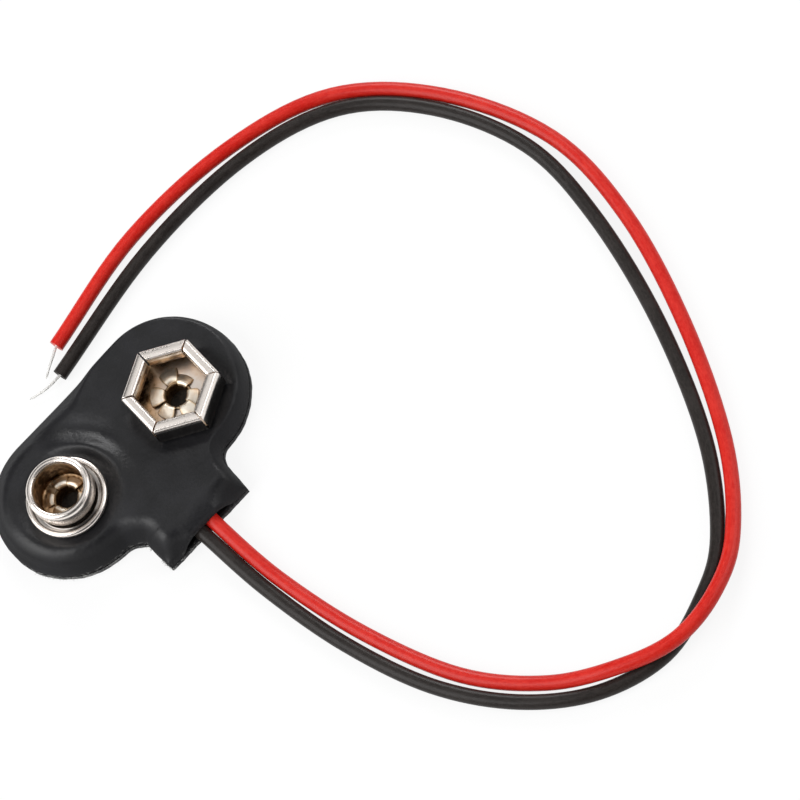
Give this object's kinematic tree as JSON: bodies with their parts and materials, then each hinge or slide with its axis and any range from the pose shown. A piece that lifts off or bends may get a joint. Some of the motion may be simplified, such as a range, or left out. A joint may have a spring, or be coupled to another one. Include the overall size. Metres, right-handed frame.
{
  "type": "battery snap lead",
  "caption": "Soft black pad with a round stud and a six-petal socket for a block battery's snap terminals, with a red and a black lead from its tab.",
  "frame": {"origin": "on the back face, midway between the axes of the stud and the socket", "axes": "+X from the stud to the socket, +Y away from the tab, +Z the way the contacts face"},
  "size_m": [0.0584, 0.063, 0.0061],
  "materials": {
    "cover": "soft black leathercloth with a fine grain",
    "cover_back": "flat black leathercloth with a grey cut edge",
    "board": "plain brown board",
    "contact_nickel": "bright nickel plating, brownish in the recesses",
    "rivet_brass": "worn plated brass",
    "solder": "dull solder",
    "red_insulation": "semi-gloss red sheath",
    "black_insulation": "semi-gloss black sheath",
    "tinned_wire": "tinned strands"
  },
  "bodies": {
    "root": {"top_skin": "cover", "back_skin": "cover_back", "stiffener_plate": "board", "stud_contact": "contact_nickel", "socket_contact": "contact_nickel", "stud_rivet": "rivet_brass", "socket_rivet": "rivet_brass", "stud_solder": "solder", "socket_solder": "solder", "red_lead": "red_insulation", "black_lead": "black_insulation", "red_tip": "tinned_wire", "black_tip": "tinned_wire", "red_tail": "tinned_wire", "black_tail": "tinned_wire"}
  },
  "joints": []
}
